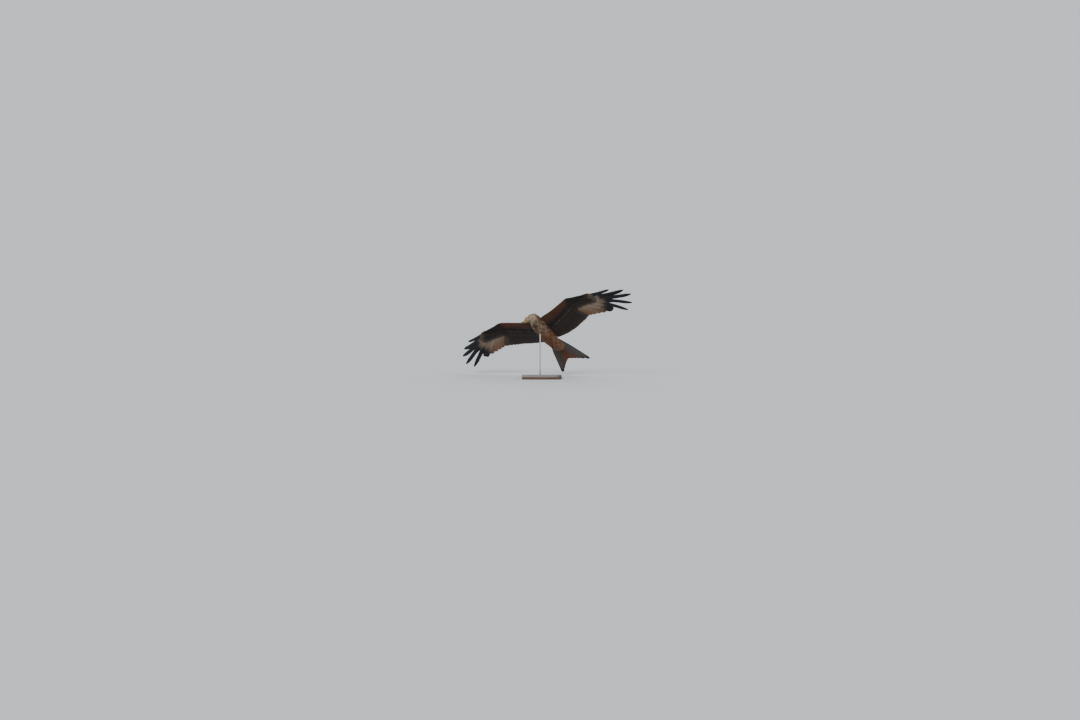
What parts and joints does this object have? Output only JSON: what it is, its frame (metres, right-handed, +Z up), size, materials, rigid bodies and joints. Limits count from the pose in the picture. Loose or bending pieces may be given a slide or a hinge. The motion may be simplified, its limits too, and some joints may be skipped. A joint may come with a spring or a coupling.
{
  "type": "bird model",
  "caption": "Life-size red kite in banked gliding flight, wings and forked tail spread, held by a rod on a flat base.",
  "frame": {"origin": "middle of the stand base's underside", "axes": "+Z up, the bird shows its underside towards -Y with its head towards -X and up"},
  "size_m": [1.2837, 0.7439, 0.6981],
  "materials": {
    "body_feather": "matt plumage, rufous brown with dark streaks",
    "head_feather": "matt plumage, pale grey buff with fine streaks",
    "wing_feather": "matt plumage, dark brown with paler edges",
    "finger_feather": "matt plumage, blackish tips over pale barred bases",
    "tail_feather": "matt plumage, rufous",
    "yellow_skin": "satin bare skin",
    "horn": "satin horn, blackish",
    "claw": "satin horn, black",
    "eye": "glossy, pale yellow iris with a black pupil",
    "base_wood": "satin dark wood",
    "rod_steel": "brushed"
  },
  "bodies": {
    "root": {"torso": "body_feather", "neck": "head_feather", "head": "head_feather", "cere": "yellow_skin", "beak_upper": "horn", "beak_lower": "horn", "eye_left": "eye", "eye_right": "eye", "tail_left": "tail_feather", "tail_right": "tail_feather", "wing_left_inner": "wing_feather", "wing_left_outer": "finger_feather", "wing_right_inner": "wing_feather", "wing_right_outer": "finger_feather", "leg_left_thigh": "body_feather", "leg_right_thigh": "body_feather", "leg_left_shank": "yellow_skin", "leg_right_shank": "yellow_skin", "foot_left": "yellow_skin", "foot_right": "yellow_skin", "claw_left_1": "claw", "claw_left_2": "claw", "claw_left_3": "claw", "claw_left_4": "claw", "claw_right_1": "claw", "claw_right_2": "claw", "claw_right_3": "claw", "claw_right_4": "claw", "stand_base": "base_wood", "stand_rod": "rod_steel"}
  },
  "joints": []
}
